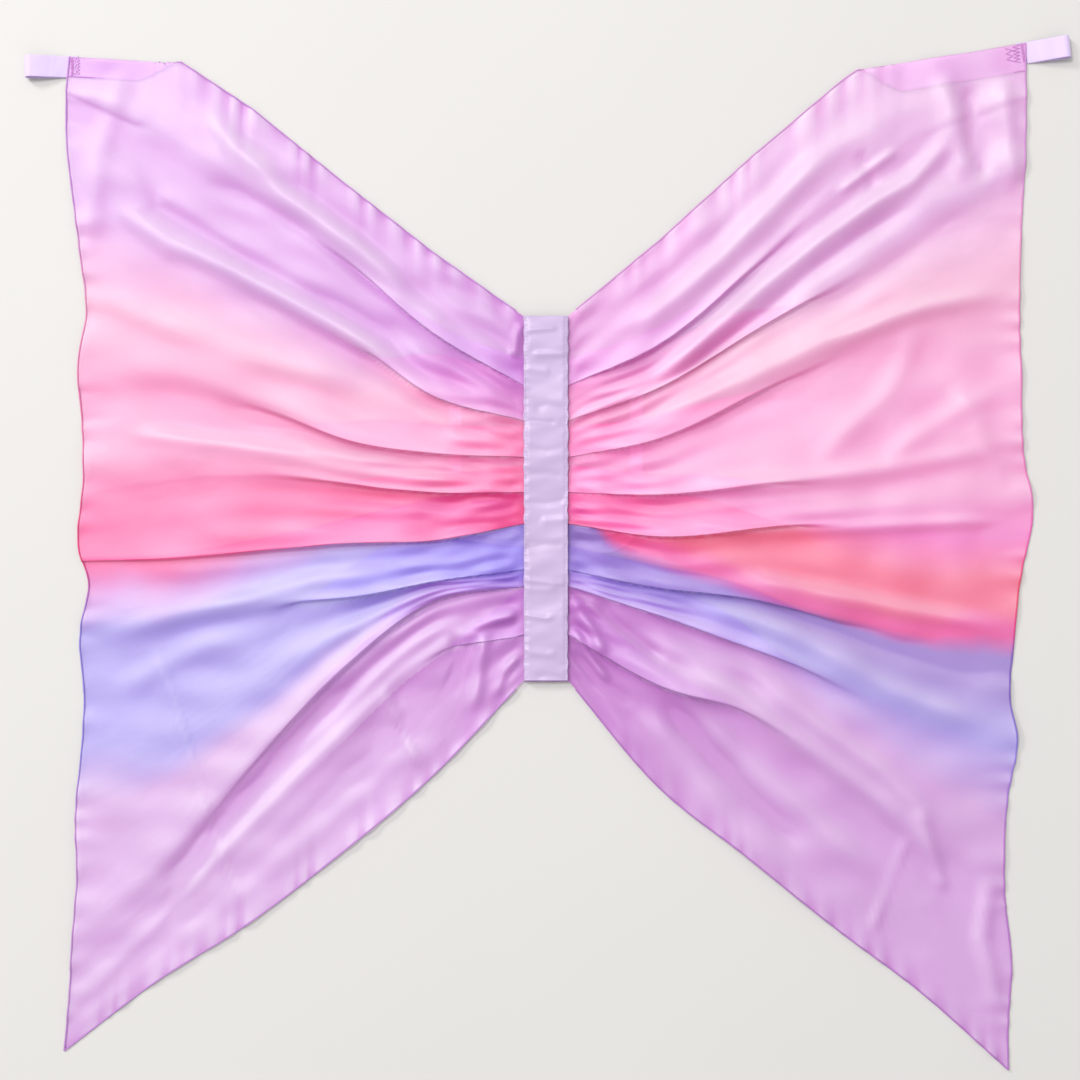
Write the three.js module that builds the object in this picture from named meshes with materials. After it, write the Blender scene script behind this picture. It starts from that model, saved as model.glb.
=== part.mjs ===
// Silk fairy wings for a child, lying open on a flat surface.
//
// One silk panel is gathered into knife pleats down its middle and sewn between two satin ribbons.
// It fans out on both sides into a left and a right wing with rolled hems. Each upper wing corner
// carries a satin finger loop, and two elastic shoulder straps leave the back of the centre band.
//
// Units are millimetres. X runs across the wings, Y up the band and Z out of its front face. The
// origin is the middle of the back ribbon's outer face, which lies on the surface with the straps.
import * as THREE from "three";

// ---- Driving dimensions ----------------------------------------------------------------------
const GAP = 0.3; // clearance between neighbouring solids

const RIBBON = { width: 38, length: 314, thick: 0.5 };
const PLEAT_STACK = 3.0; // height of the pleats sewn between the ribbons
const SILK_THICK = 0.8;
const HEM_RADIUS = 0.9;

const STRAP = { width: 12, thick: 1.0, reach: 84, top: 112, bottom: -42, corner: 36, sewnIn: 12 };
const LOOP = { width: 19, length: 32, round: 5, ribbon: 0.5, seam: 3, sewnIn: 12, pastEdge: 6 };
const THREAD = { width: 0.7, high: 0.3, seat: 0.1 };
const EDGE_STITCH = { inset: 2, pitch: 8, swing: 0.5 };
const TACK = { inset: 3.5, pitch: 3, swing: 2.2 };

const BILLOW = 11; // height of a wing's folds over the surface, halfway out
const RIM_BILLOW = 6; // the same at the outer edge
const ARM_CLEAR = 6.5; // height of the silk over the surface, across the inside of the straps

// Visible width of each pleat down the band, from the top, in shares of the widest one.
const PLEAT_SHARES = [1, 0.5, 0.52, 0.5, 0.44, 0.66, 0.22, 0.7, 0.62];
const PLEATS = PLEAT_SHARES.length;

// Each wing is described by its corners, measured from the centre of the band with x outwards,
// and by its creases, from the upper edge (first row) to the lower edge (last row). "out" says how
// far down the outer edge a crease arrives, and "rise" how far it runs above the straight line from
// the band, at the stations in CREASE_STATIONS.
const CREASE_STATIONS = [0.2, 0.4, 0.6, 0.8];
const WINGS = {
  left: {
    side: -1,
    tip: [411, 383],
    tail: [416, -477],
    loopTilt: -1,
    shoulder: { at: 0.76, rise: 49 },
    rim: [[0.04, 3], [0.2, -10], [0.27, -16], [0.31, -8], [0.42, -15], [0.5, -11], [0.53, -20],
      [0.58, -11], [0.7, -14], [0.82, -11], [0.93, -4]],
    creases: [
      { out: 0, rise: [10, 26, 44, 49] },
      { out: 0.04, rise: [-5, 11, 12, 9] },
      { out: 0.13, rise: [-20, -10, -8, 0] },
      { out: 0.33, rise: [-10, -11, 5, 14] },
      { out: 0.44, rise: [0, 7, 17, 13] },
      { out: 0.51, rise: [-8, -4, -4, -4] },
      { out: 0.58, rise: [1, -4, -2, 0] },
      { out: 0.9, rise: [50, 54, 34, 4] },
      { out: 0.96, rise: [46, 40, 28, 10] },
      { out: 1, rise: [-19, -22, -18, -4] },
    ],
  },
  right: {
    side: 1,
    tip: [414, 395],
    tail: [399, -493],
    loopTilt: 7,
    shoulder: { at: 0.64, rise: 62 },
    rim: [[0.1, 1], [0.26, -2], [0.4, 3], [0.46, 14], [0.52, 3], [0.6, -2], [0.64, -6], [0.68, 4],
      [0.72, -3], [0.83, -6], [0.95, -1]],
    creases: [
      { out: 0, rise: [18, 42, 61, 41] },
      { out: 0.06, rise: [-14, 1, 23, 20] },
      { out: 0.12, rise: [-16, -14, -17, -8] },
      { out: 0.25, rise: [-12, -4, 7, 17] },
      { out: 0.39, rise: [-11, -13, -15, -8] },
      { out: 0.46, rise: [-13, -9, -5, -2] },
      { out: 0.59, rise: [-2, 2, -4, -4] },
      { out: 0.69, rise: [3, 3, -1, -5] },
      { out: 0.82, rise: [1, 20, 19, 4] },
      { out: 1, rise: [-23, -16, -10, 0] },
    ],
  },
};

// Mesh fineness.
const OUT_STEPS = 15;
const STEPS_PER_PLEAT = 4;
const ARC_STEPS = 8;
const HEM_SIDES = 6;

// ---- Heights of the stack at the band ---------------------------------------------------------
const backTop = RIBBON.thick;
const strapEndBase = backTop + GAP;
const silkBase = strapEndBase + STRAP.thick + GAP;
const silkTop = silkBase + PLEAT_STACK;
const frontBase = silkTop + GAP;
const frontTop = frontBase + RIBBON.thick;
const bandEdge = RIBBON.width / 2;
const wingRoot = bandEdge + GAP;
const loopRibbons = 2 * LOOP.ribbon; // both legs of a finger loop, where they are sewn in
const cornerBase = loopRibbons + GAP + HEM_RADIUS - SILK_THICK / 2;

// ---- Colours ----------------------------------------------------------------------------------
const finish = (color, roughness) => new THREE.MeshStandardMaterial({ color, roughness, metalness: 0 });
const silkPink = finish(0xf58bc0, 0.45);
const silkMiddle = finish(0xe58ad2, 0.45);
const satin = finish(0xdcc6ec, 0.35);
const hemThread = finish(0xb27fd6, 0.6);
const seamThread = finish(0xd3bde6, 0.6);
const elastic = finish(0xf4f1f6, 0.8);

// ---- Small helpers ----------------------------------------------------------------------------
const root = new THREE.Group();

function add(name, geometry, material) {
  const mesh = new THREE.Mesh(geometry, material);
  mesh.name = name;
  root.add(mesh);
  return mesh;
}

const mix = (a, b, t) => a + (b - a) * t;
const ease = (low, high, x) => THREE.MathUtils.smoothstep(x, low, high);

// A smooth curve through [at, value] pairs, with straight stretches where straight is true.
function through(pairs, at, straight = false) {
  const last = pairs.length - 1;
  let i = 0;
  while (i < last - 1 && at > pairs[i + 1][0]) i += 1;
  const [a, b] = [pairs[i], pairs[i + 1]];
  const t = (at - a[0]) / (b[0] - a[0]);
  if (straight) return mix(a[1], b[1], t);
  const before = pairs[Math.max(i - 1, 0)];
  const after = pairs[Math.min(i + 2, last)];
  const leave = ((b[1] - before[1]) / (b[0] - before[0])) * (b[0] - a[0]);
  const arrive = ((after[1] - a[1]) / (after[0] - a[0])) * (b[0] - a[0]);
  const [t2, t3] = [t * t, t * t * t];
  return a[1] * (2 * t3 - 3 * t2 + 1) + b[1] * (3 * t2 - 2 * t3)
    + leave * (t3 - 2 * t2 + t) + arrive * (t3 - t2);
}

// ---- The silk ---------------------------------------------------------------------------------
const pleatTotal = PLEAT_SHARES.reduce((sum, share) => sum + share, 0);

// Height on the band of crease number k, counted from 0 at the top. k need not be whole.
function bandHeight(k) {
  const whole = Math.min(Math.floor(k), PLEATS - 1);
  const above = PLEAT_SHARES.slice(0, whole).reduce((sum, share) => sum + share, 0);
  const down = (above + (k - whole) * PLEAT_SHARES[whole]) / pleatTotal;
  return RIBBON.length * (0.5 - down);
}

// A point of the outer edge, a share of the way down from the tip to the tail.
function rimPoint(wing, share) {
  const bow = through([[0, 0], ...wing.rim, [1, 0]], share);
  return [mix(wing.tip[0], wing.tail[0], share) + bow, mix(wing.tip[1], wing.tail[1], share)];
}

function riseOf(wing, k, u) {
  const crease = wing.creases[k];
  const stations = CREASE_STATIONS.map((at, i) => [at, crease.rise[i]]);
  if (k > 0) return through([[0, 0], ...stations, [1, 0]], u);
  const { at, rise } = wing.shoulder;
  const inner = stations.filter(([station]) => station < at - 0.02);
  return through([[0, 0], ...inner, [at, rise], [1, 0]], u, true);
}

// Where the silk lies in plan: u runs from the band (0) to the outer edge (1), k over the creases.
function planPoint(wing, u, k) {
  const whole = Math.min(Math.floor(k), PLEATS - 1);
  const part = k - whole;
  const out = mix(wing.creases[whole].out, wing.creases[whole + 1].out, part);
  const [rimX, rimY] = rimPoint(wing, out);
  const rise = mix(riseOf(wing, whole, u), riseOf(wing, whole + 1, u), part);
  return [wing.side * mix(wingRoot, rimX, u), mix(bandHeight(k), rimY, u) + rise];
}

// The fold's profile across the pleats: it climbs to each crease and drops just past it.
function foldProfile(k) {
  if (k <= 1) return k;
  const past = k - Math.floor(k);
  const drop = 1 / STEPS_PER_PLEAT;
  if (past < drop) return k >= PLEATS ? 0 : 1 - past / drop;
  return k > PLEATS - 1 ? 0 : (past - drop) / (1 - drop);
}

// Height of the silk's underside over the surface.
function silkHeight(u, k) {
  const strapZone = 1 - ease(0.3, 0.45, u);
  const lifted = mix(silkBase, ARM_CLEAR, ease(0, 0.03, u));
  const flatCorner = ease(0.75, 0.93, u) * (1 - ease(1, 2.5, k));
  const stack = PLEAT_STACK - SILK_THICK;
  const fold = u < 0.4 ? mix(stack, BILLOW, ease(0.02, 0.4, u)) : mix(BILLOW, RIM_BILLOW, ease(0.4, 1, u));
  return lifted * strapZone + cornerBase * flatCorner + fold * foldProfile(k) * (1 - flatCorner);
}

// Splits the underside's quads along the same diagonal as the top's, so that the two faces of a
// thin sheet never cross where a quad is twisted.
function splitLikeTheTop(box) {
  const underside = box.groups[5];
  const { array } = box.index;
  for (let i = underside.start; i < underside.start + underside.count; i += 6) {
    const [first, second, fourth] = array.slice(i, i + 3);
    const third = array[i + 4];
    array.set([first, second, third, first, third, fourth], i);
  }
}

// A box of unit size whose long faces are bent to place(a, b) -> [x, y, low, high].
function bentSheet(stepsA, stepsB, place) {
  const box = new THREE.BoxGeometry(1, 1, 1, stepsA, stepsB, 1);
  splitLikeTheTop(box);
  const at = box.attributes.position;
  for (let i = 0; i < at.count; i += 1) {
    const [x, y, low, high] = place(at.getX(i) + 0.5, at.getY(i) + 0.5);
    at.setXYZ(i, x, y, at.getZ(i) > 0 ? high : low);
  }
  return box;
}

// Turns every triangle round, for a sheet bent into its mirror image.
function turnedInsideOut(geometry) {
  const { array } = geometry.index;
  for (let i = 0; i < array.length; i += 3) {
    [array[i], array[i + 1]] = [array[i + 1], array[i]];
  }
  return geometry;
}

function wingSilk(wing) {
  const sheet = bentSheet(OUT_STEPS, PLEATS * STEPS_PER_PLEAT, (a, b) => {
    const k = (1 - b) * PLEATS;
    const [x, y] = planPoint(wing, a, k);
    const low = silkHeight(a, k);
    return [x, y, low, low + SILK_THICK];
  });
  return wing.side < 0 ? turnedInsideOut(sheet) : sheet;
}

// The pleats under the ribbons, as one pressed stack.
function middleSilk() {
  return bentSheet(1, PLEATS * STEPS_PER_PLEAT, (a, b) => {
    const k = (1 - b) * PLEATS;
    const top = silkBase + SILK_THICK + (PLEAT_STACK - SILK_THICK) * foldProfile(k);
    return [(2 * a - 1) * bandEdge, bandHeight(k), silkBase, top];
  });
}

// ---- Hems -------------------------------------------------------------------------------------
// Follows one edge of a wing at the same stations as its silk, just outside it.
class HemPath extends THREE.Curve {
  constructor(wing, edge, from, to) {
    super();
    Object.assign(this, { wing, edge, from, to });
  }

  edgeParameters(t) {
    const s = mix(this.from, this.to, t);
    if (this.edge === "upper") return [s, 0];
    if (this.edge === "lower") return [s, PLEATS];
    return [1, s * PLEATS];
  }

  getPoint(t, target = new THREE.Vector3()) {
    const step = 1e-3;
    const [u, k] = this.edgeParameters(t);
    const [x, y] = planPoint(this.wing, u, k);
    const [ax, ay] = planPoint(this.wing, ...this.edgeParameters(Math.max(t - step, 0)));
    const [bx, by] = planPoint(this.wing, ...this.edgeParameters(Math.min(t + step, 1)));
    const along = new THREE.Vector2(bx - ax, by - ay).normalize();
    const outward = { upper: 1, outer: 1, lower: -1 }[this.edge] * this.wing.side;
    const normal = new THREE.Vector2(-along.y, along.x).multiplyScalar(outward);
    const off = HEM_RADIUS + GAP;
    const z = silkHeight(u, k) + SILK_THICK / 2;
    return target.set(x + normal.x * off, y + normal.y * off, Math.max(z, HEM_RADIUS));
  }

  // Steps are counted by station and not by length, so that the hem turns where the silk does.
  getPointAt(t, target) {
    return this.getPoint(t, target);
  }

  getTangentAt(t, target) {
    return this.getTangent(t, target);
  }
}

function hem(wing, edge, from, to, steps) {
  const section = new THREE.Shape();
  for (let i = 0; i < HEM_SIDES; i += 1) {
    const turn = (2 * Math.PI * i) / HEM_SIDES;
    const point = [HEM_RADIUS * Math.cos(turn), HEM_RADIUS * Math.sin(turn)];
    if (i) section.lineTo(...point);
    else section.moveTo(...point);
  }
  return new THREE.ExtrudeGeometry(section, { steps, extrudePath: new HemPath(wing, edge, from, to) });
}

// ---- Ribbons, straps and loops ----------------------------------------------------------------
function slab(x0, x1, y0, y1, z0, z1) {
  return new THREE.BoxGeometry(x1 - x0, y1 - y0, z1 - z0)
    .translate((x0 + x1) / 2, (y0 + y1) / 2, (z0 + z1) / 2);
}

// A thread that swings from side to side along Y, seen from above.
function zigzag(length, pitch, swing) {
  const turns = Math.max(2, Math.round(length / pitch));
  const points = [];
  for (let i = 0; i <= turns; i += 1) {
    points.push([i % 2 ? swing : -swing, (i / turns - 0.5) * length]);
  }
  const half = THREAD.width / 2;
  const outline = [
    ...points.map(([x, y]) => new THREE.Vector2(x + half, y)),
    ...points.reverse().map(([x, y]) => new THREE.Vector2(x - half, y)),
  ];
  return new THREE.ExtrudeGeometry(new THREE.Shape(outline), { depth: THREAD.high, bevelEnabled: false });
}

// A strap lies flat in the shape of a D, open towards the band.
function strap(side) {
  const { width, reach, top, bottom, corner } = STRAP;
  const half = width / 2;
  const inside = corner - width;
  const shape = new THREE.Shape();
  shape.moveTo(wingRoot, bottom - half);
  shape.lineTo(reach - corner, bottom - half);
  shape.absarc(reach - corner, bottom - half + corner, corner, -Math.PI / 2, 0, false);
  shape.absarc(reach - corner, top + half - corner, corner, 0, Math.PI / 2, false);
  shape.lineTo(wingRoot, top + half);
  shape.lineTo(wingRoot, top - half);
  shape.absarc(reach - corner, top + half - corner, inside, Math.PI / 2, 0, true);
  shape.absarc(reach - corner, bottom - half + corner, inside, 0, -Math.PI / 2, true);
  shape.lineTo(wingRoot, bottom + half);
  const flat = new THREE.ExtrudeGeometry(shape, {
    depth: STRAP.thick, bevelEnabled: false, curveSegments: ARC_STEPS,
  });
  return side > 0 ? flat : flat.rotateY(Math.PI).translate(0, 0, STRAP.thick);
}

function strapEnd(side, height) {
  const inner = bandEdge - STRAP.sewnIn;
  const [x0, x1] = side > 0 ? [inner, bandEdge] : [-bandEdge, -inner];
  const half = STRAP.width / 2;
  return slab(x0, x1, height - half, height + half, strapEndBase, strapEndBase + STRAP.thick);
}

// The loop's outline from the side: two legs that part from the seam to a round end.
function loopProfile() {
  const { length, round, ribbon, seam } = LOOP;
  const bend = length - round;
  const slope = (2 * round - loopRibbons) / (bend - ribbon);
  const inner = (x) => loopRibbons - ribbon * Math.hypot(1, slope) + slope * (x - ribbon);
  const shape = new THREE.Shape();
  shape.moveTo(ribbon, 0);
  shape.lineTo(bend, 0);
  shape.absarc(bend, round, round, -Math.PI / 2, Math.PI / 2, false);
  shape.lineTo(ribbon, loopRibbons);
  shape.absarc(ribbon, ribbon, ribbon, Math.PI / 2, (3 * Math.PI) / 2, false);
  const hole = new THREE.Path();
  hole.moveTo(seam, ribbon);
  hole.lineTo(seam, inner(seam));
  hole.lineTo(bend, 2 * round - ribbon * Math.hypot(1, slope));
  hole.absarc(bend, round, round - ribbon, Math.PI / 3, -Math.PI / 2, true);
  shape.holes.push(hole);
  return shape;
}

// Places a geometry made with x outwards from a wing's corner, at the loop's height on the edge.
function atCorner(wing, geometry) {
  const turned = geometry.rotateZ(THREE.MathUtils.degToRad(wing.side * wing.loopTilt));
  const y = wing.tip[1] - LOOP.width / 2;
  return turned.translate(wing.side * wing.tip[0], y, 0);
}

function fingerLoop(wing) {
  const flat = new THREE.ExtrudeGeometry(loopProfile(), {
    depth: LOOP.width, bevelEnabled: false, curveSegments: ARC_STEPS,
  });
  // The profile is drawn in X and Y, so it is stood up to run outwards and up.
  flat.rotateX(Math.PI / 2).translate(LOOP.pastEdge, LOOP.width / 2, 0);
  if (wing.side < 0) flat.rotateZ(Math.PI);
  return atCorner(wing, flat);
}

function loopEnd(wing) {
  const half = LOOP.width / 2;
  const out = LOOP.pastEdge - GAP;
  const [x0, x1] = wing.side > 0 ? [-LOOP.sewnIn, out] : [-out, LOOP.sewnIn];
  return atCorner(wing, slab(x0, x1, -half, half, 0, loopRibbons));
}

function cornerTack(wing) {
  const thread = zigzag(LOOP.width - 2 * TACK.inset, TACK.pitch, TACK.swing);
  const height = cornerBase + SILK_THICK + THREAD.seat;
  return atCorner(wing, thread.translate(-wing.side * (LOOP.sewnIn / 2 + TACK.swing / 2), 0, height));
}

// ---- Assembly ---------------------------------------------------------------------------------
const halfLength = RIBBON.length / 2;
add("ribbon_back", slab(-bandEdge, bandEdge, -halfLength, halfLength, 0, backTop), satin);
add("ribbon_front", slab(-bandEdge, bandEdge, -halfLength, halfLength, frontBase, frontTop), satin);
add("silk_pleats_middle", middleSilk(), silkMiddle);

for (const [name, wing] of Object.entries(WINGS)) {
  const { side } = wing;
  const stitch = zigzag(RIBBON.length - 2 * EDGE_STITCH.inset, EDGE_STITCH.pitch, EDGE_STITCH.swing);
  const stitchX = side * (bandEdge - EDGE_STITCH.inset);
  add(`edge_stitching_${name}`, stitch.translate(stitchX, 0, frontTop + THREAD.seat), seamThread);

  add(`silk_wing_${name}`, wingSilk(wing), silkPink);
  const rows = PLEATS * STEPS_PER_PLEAT;
  const end = 1 / OUT_STEPS;
  add(`hem_upper_${name}`, hem(wing, "upper", end, 1, OUT_STEPS - 1), hemThread);
  add(`hem_outer_${name}`, hem(wing, "outer", 1 / rows, 1 - 1 / rows, rows - 2), hemThread);
  add(`hem_lower_${name}`, hem(wing, "lower", end, 1, OUT_STEPS - 1), hemThread);

  add(`finger_loop_${name}`, fingerLoop(wing), satin);
  add(`finger_loop_end_${name}`, loopEnd(wing), satin);
  add(`corner_tack_${name}`, cornerTack(wing), hemThread);

  add(`shoulder_strap_${name}`, strap(side), elastic);
  add(`strap_end_upper_${name}`, strapEnd(side, STRAP.top), elastic);
  add(`strap_end_lower_${name}`, strapEnd(side, STRAP.bottom), elastic);
}

export default root;
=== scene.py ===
"""Silk fairy wings lying open on a pale surface.

One dip-dyed silk sheet is knife-pleated through a satin centre band and fans out into two wings.
Lengths in the data below are in millimetres; every Blender mesh is made in metres.
"""

import math

import bpy
import numpy as np
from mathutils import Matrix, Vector


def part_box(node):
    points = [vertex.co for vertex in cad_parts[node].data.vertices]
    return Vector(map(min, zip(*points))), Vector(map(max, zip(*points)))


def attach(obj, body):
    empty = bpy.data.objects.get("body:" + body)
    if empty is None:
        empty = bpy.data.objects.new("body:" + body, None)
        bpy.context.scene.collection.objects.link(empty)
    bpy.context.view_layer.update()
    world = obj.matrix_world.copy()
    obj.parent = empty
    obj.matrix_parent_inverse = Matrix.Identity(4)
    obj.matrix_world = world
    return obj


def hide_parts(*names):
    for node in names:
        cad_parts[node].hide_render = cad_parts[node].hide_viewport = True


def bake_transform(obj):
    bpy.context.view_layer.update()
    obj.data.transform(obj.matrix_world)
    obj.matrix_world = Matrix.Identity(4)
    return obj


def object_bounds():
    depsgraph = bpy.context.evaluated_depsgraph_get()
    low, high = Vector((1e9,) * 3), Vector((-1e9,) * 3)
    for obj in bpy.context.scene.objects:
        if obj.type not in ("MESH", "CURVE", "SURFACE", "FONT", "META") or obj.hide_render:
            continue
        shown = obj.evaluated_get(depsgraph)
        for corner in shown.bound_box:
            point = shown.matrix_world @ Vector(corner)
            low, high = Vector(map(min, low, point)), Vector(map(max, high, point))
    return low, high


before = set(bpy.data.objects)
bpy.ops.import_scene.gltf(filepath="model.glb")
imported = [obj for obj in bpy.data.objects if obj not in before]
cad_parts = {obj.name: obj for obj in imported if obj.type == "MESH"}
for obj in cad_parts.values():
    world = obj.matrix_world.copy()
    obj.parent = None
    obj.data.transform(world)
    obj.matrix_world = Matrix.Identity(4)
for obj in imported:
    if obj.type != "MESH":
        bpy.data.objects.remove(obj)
cad_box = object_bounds()

MM = 0.001


def box_mm(node):
    low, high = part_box(node)
    return np.array(low) / MM, np.array(high) / MM


# ---- Sizes read from the frame ----
FRONT_LOW, FRONT_HIGH = box_mm("ribbon_front")
MIDDLE_LOW, MIDDLE_HIGH = box_mm("silk_pleats_middle")
BAND_EDGE = FRONT_HIGH[0]
BAND_LENGTH = FRONT_HIGH[1] - FRONT_LOW[1]

# ---- The silk's description ----
SILK_HEIGHT = 889.0  # the square's side, from the upper to the lower hem
PLEAT_SHARES = (1, 0.5, 0.52, 0.5, 0.44, 0.66, 0.22, 0.7, 0.62)  # visible widths down the band
PLEATS = len(PLEAT_SHARES)
# How far down the flat square each fold edge sits at the band, as a share of its height.
FLAT_AT_BAND = (0, 0.10, 0.19, 0.33, 0.43, 0.52, 0.66, 0.73, 0.86, 1)
CREASE_STATIONS = (0, 0.2, 0.4, 0.6, 0.8, 1)
SHARP_CURL = 1.6  # how far a pressed fold is rounded, along the cloth
SOFT_CURL = 13.0  # the same for a fold that has opened out
FOLD_GAIN = 1.5  # height of the loose folds, over the heights listed with them
MOST_OVERLAP = 1.1  # deepest tuck of a pleat, in visible widths of the pleat over it
LEAST_TUCK = 7.0  # overlap of a fold that stays pressed out to the rim
GROUND_BLEND = 0.35  # how softly the silk comes to rest on the surface
STACK_STEP = 1.15  # most height between two layers of a pleat at the band
ROOT_GAP = 0.3  # from the band's edge to the wings' first station
WING_REACH = 400  # rounded length of a wing, which scales the unevenness along it
PUCKER_LENGTH = 19  # along the upper and lower edges
SCALLOP_LENGTH = 27  # along the outer edge
LOOP_WIDTH = 19
LOOP_TILT = {"left": -1, "right": 7}  # degrees by which a loop's outer end rises
STATIONS = 112  # mesh points from the band to the outer edge
ROWS = 520  # mesh points down the square

# Each wing in plan, with x outwards:
# folds: the loose folds, each with its path, half width and height.
# tip_inset, tail_inset: how far inside the frame's box its outer corners lie.
# corner: where its upper edge bends, as a share of the way out, and the rise there.
# rim: (share of the way down, bow outwards) along its outer edge.
# creases: share of the way down the outer edge, rise over the straight line at the inner
#     CREASE_STATIONS, how far out it stays pressed (over 1: to the rim), crest height.
# turned_rows: mesh rows folded under along the upper edge, past the corner.
LEFT_FOLDS = (
    (((92, 153), (124, 190), (162, 229), (201, 257), (250, 285)), 9, -3.5),
    (((100, 166), (140, 200), (180, 229), (225, 262), (270, 305), (300, 350)), 9, 4.0),
    (((124, 166), (162, 200), (201, 229), (240, 252), (297, 278)), 8, -3.5),
    (((103, 112), (137, 143), (188, 169), (240, 195), (292, 226), (334, 252), (352, 293)), 9, -4),
    (((116, 104), (149, 130), (201, 159), (266, 195), (323, 218), (385, 262)), 9, 4.5),
    (((150, 95), (220, 112), (300, 140), (395, 175)), 13, 3),
    (((140, -137), (179, -175), (224, -226), (268, -271), (294, -299), (313, -322),
      (316, -350), (290, -385)), 12, -2.6),
    (((110, -95), (150, -120), (196, -165), (240, -215), (275, -262), (300, -282)), 10, 1.8),
    (((52, -112), (57, -147), (62, -185)), 5, 3.5),
    (((143, -162), (128, -194), (109, -235)), 4, 2.0),
    (((342, -121), (326, -162), (310, -213), (294, -271), (278, -316), (256, -361)), 4, 1.3),
    (((90, 36), (160, 32), (250, 44), (370, 58)), 7, 2.5),
    (((110, -66), (200, -72), (300, -98), (395, -120)), 9, 2.6),
    (((210, -105), (290, -125), (380, -170)), 12, 2.2),
    (((360, 380), (385, 300), (395, 210)), 10, 2.0),
    (((20, 152), (25, 140), (28, 120)), 3, 3),
    (((24, -100), (40, -104), (66, -112)), 4, 2.6),
    (((22, -134), (36, -150), (44, -172)), 4, 2.4),
    (((80, -112), (74, -140), (84, -172)), 5, -2.6),
)
LEFT_WING = {
    "side": -1,
    "seed": 11,
    "tip_inset": 5,
    "tail_inset": 0,
    "corner": (0.76, 49),
    "rim": ((0, 0), (0.04, 3), (0.2, -10), (0.27, -16), (0.31, -8), (0.36, -12), (0.42, -15),
            (0.5, -11), (0.53, -20), (0.58, -11), (0.64, -16), (0.7, -14), (0.76, -9),
            (0.82, -11), (0.9, -6), (0.95, -4), (1, 0)),
    "creases": (
        (0, (10, 26, 44, 49), 0, 2.5),
        (0.04, (-5, 11, 12, 9), 0.42, 9),
        (0.13, (-20, -10, -8, 0), 0.34, 9),
        (0.33, (-10, -11, 5, 14), 0.55, 10),
        (0.44, (0, 7, 17, 13), 0.5, 9),
        (0.51, (-8, -4, -4, -4), 1.7, 9),
        (0.58, (1, -4, -2, 0), 0.5, 8),
        (0.9, (50, 54, 34, 4), 0.6, 8.5),
        (0.96, (46, 40, 28, 10), 0.2, 5),
        (1, (-19, -22, -18, -4), 0, 2.5),
    ),
    "turned_rows": 11,
    "folds": LEFT_FOLDS,
}
RIGHT_FOLDS = (
    (((85, 95), (121, 127), (162, 163), (203, 197), (245, 229), (286, 257), (314, 273),
      (341, 301), (349, 340)), 8, 5),
    (((95, 85), (135, 118), (180, 155), (225, 192), (275, 228), (330, 262)), 8, -4),
    (((60, 120), (100, 165), (150, 205), (205, 262), (250, 310)), 10, 3),
    (((363, 360), (372, 315), (379, 270)), 7, -4),
    (((340, 370), (352, 320), (362, 270)), 8, 3.5),
    (((392, 370), (398, 315), (405, 260)), 8, 3.5),
    (((250, 262), (277, 282), (305, 302)), 4, 2.2),
    (((225, 22), (262, 60), (292, 88), (312, 122), (322, 160)), 10, 1.5),
    (((285, 26), (325, 58), (362, 80), (400, 96)), 9, 1.4),
    (((350, 100), (372, 66), (380, 40), (400, 8)), 9, 1.5),
    (((268, 300), (277, 282), (284, 262)), 4, -1.8),
    (((314, -287), (298, -330), (278, -380)), 4, 1.8),
    (((90, 70), (170, 100), (240, 135), (330, 165), (400, 178)), 8, 3),
    (((110, 14), (200, 12), (300, 26), (400, 45)), 9, 2.6),
    (((100, -20), (180, -28), (260, -26), (360, -20), (410, -22)), 6, 2.4),
    (((150, -62), (240, -82), (330, -100), (400, -112)), 8, 3.4),
    (((120, -88), (210, -118), (300, -165), (390, -200)), 10, 3),
    (((60, -130), (110, -165), (160, -215), (230, -275), (300, -340)), 11, 3),
    (((90, -120), (150, -158), (210, -205), (290, -262), (360, -330)), 9, 2.8),
    (((80, -175), (110, -212), (145, -262), (205, -330)), 13, 3.4),
    (((96, -168), (130, -205), (165, -245), (225, -305)), 9, -3.4),
    (((170, -150), (230, -190), (290, -235), (345, -290)), 9, 3.2),
    (((318, -262), (330, -300), (346, -345)), 7, 3.0),
    (((383, -320), (376, -380), (392, -450)), 8, 3.0),
    (((120, -66), (200, -96), (300, -128), (395, -152)), 8, -2.6),
    (((20, -84), (34, -104), (52, -136)), 5, 3.6),
    (((22, -110), (34, -132), (56, -160)), 4, 3.0),
    (((40, -86), (66, -112), (104, -140)), 5, -3.2),
    (((24, -128), (44, -158), (76, -178)), 5, -2.6),
)
RIGHT_WING = {
    "side": 1,
    "seed": 23,
    "tip_inset": 7.1,
    "tail_inset": 22.1,
    "corner": (0.64, 62),
    "rim": ((0, 0), (0.1, 1), (0.26, -2), (0.33, 1), (0.4, 3), (0.46, 14), (0.52, 3), (0.57, -1),
            (0.6, -2), (0.64, -6), (0.68, 4), (0.72, -3), (0.83, -6), (0.9, 2), (0.95, -1), (1, 0)),
    "creases": (
        (0, (18, 42, 61, 41), 0, 2.5),
        (0.06, (-14, 1, 23, 20), 0.45, 10),
        (0.12, (-16, -14, -17, -8), 0.55, 9),
        (0.25, (-12, -4, 7, 17), 0.5, 9),
        (0.39, (-11, -13, -15, -8), 0.5, 9),
        (0.46, (-13, -9, -5, -2), 0.5, 9),
        (0.59, (-2, 2, -4, -4), 0.6, 7.5),
        (0.69, (3, 3, -1, -5), 0.55, 8),
        (0.82, (1, 20, 19, 4), 0.45, 9),
        (1, (-23, -16, -10, 0), 0, 2.5),
    ),
    "turned_rows": 15,
    "folds": RIGHT_FOLDS,
}
WINGS = {"left": LEFT_WING, "right": RIGHT_WING}


# ---- Small helpers ----
def mix(a, b, t):
    return a + (b - a) * t


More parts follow.
